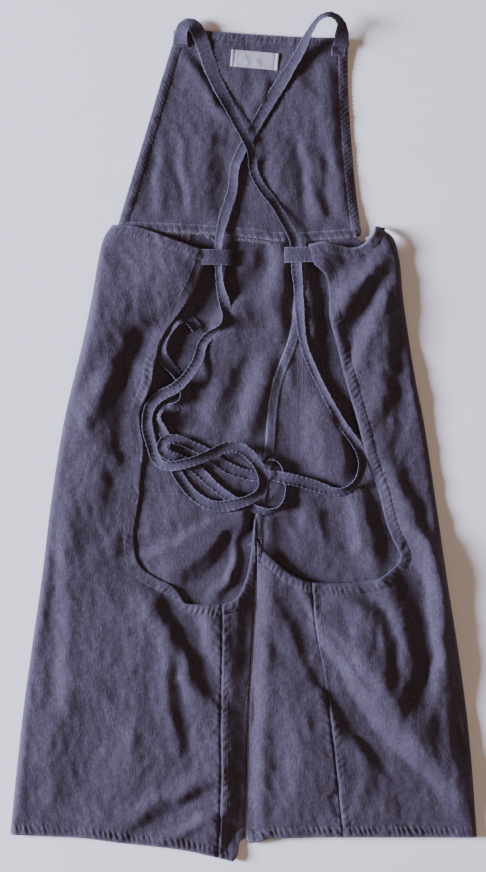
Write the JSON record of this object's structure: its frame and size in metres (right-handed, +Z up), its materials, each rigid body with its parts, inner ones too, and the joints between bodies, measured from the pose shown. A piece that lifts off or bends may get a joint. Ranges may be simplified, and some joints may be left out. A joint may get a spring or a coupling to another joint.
{
  "type": "artist smock apron",
  "caption": "Split-leg linen studio apron laid flat, back up: bib, wrap-round legs, open back, and shoulder straps crossing through corner loops.",
  "frame": {"origin": "centre of the laid-out apron's box, without its straps, on the surface it lies on", "axes": "+Y towards the top of the bib, +Z up out of the open back, +X to the right with the back facing the viewer"},
  "size_m": [0.522, 0.9508, 0.0264],
  "materials": {
    "washed_linen": "matte, garment-washed linen",
    "linen_tape": "matte, folded and edge-stitched linen tape",
    "satin_label": "satin weave"
  },
  "bodies": {
    "skirt": {"waist_seam": "washed_linen", "centre_front_seam": "washed_linen", "left_front_panel": "washed_linen", "left_back_wrap": "washed_linen", "left_crotch_piece": "washed_linen", "left_opening_facing": "washed_linen", "left_wrap_top_hem": "washed_linen", "left_pocket": "washed_linen", "left_strap_loop": "linen_tape", "left_strap_tail": "linen_tape", "right_front_panel": "washed_linen", "right_back_wrap": "washed_linen", "right_crotch_piece": "washed_linen", "right_opening_facing": "washed_linen", "right_wrap_top_hem": "washed_linen", "right_pocket": "washed_linen", "right_strap_loop": "linen_tape", "right_strap_tail": "linen_tape"},
    "bib": {"bib_panel": "washed_linen", "bib_top_hem": "washed_linen", "bib_left_side_hem": "washed_linen", "bib_right_side_hem": "washed_linen", "inner_label": "satin_label", "left_strap_sewn_end": "linen_tape", "right_strap_sewn_end": "linen_tape", "left_strap_upper": "linen_tape", "right_strap_upper": "linen_tape"},
    "left_leg": {"left_leg_front": "washed_linen", "left_leg_back": "washed_linen", "left_inner_leg": "washed_linen", "left_leg_hem": "washed_linen"},
    "right_leg": {"right_leg_front": "washed_linen", "right_leg_back": "washed_linen", "right_inner_leg": "washed_linen", "right_leg_hem": "washed_linen"}
  },
  "joints": [
    {"name": "bib_fold", "type": "hinge", "parent": "skirt", "child": "bib", "pos_m": [0, 0.252, 0.014], "axis": [1, 0, 0], "range_deg": [0, 150]},
    {"name": "left_leg_fold", "type": "hinge", "parent": "skirt", "child": "left_leg", "pos_m": [0, -0.2, 0.011], "axis": [-1, 0, 0], "range_deg": [0, 135]},
    {"name": "right_leg_fold", "type": "hinge", "parent": "skirt", "child": "right_leg", "pos_m": [0, -0.2, 0.011], "axis": [-1, 0, 0], "range_deg": [0, 135]}
  ]
}
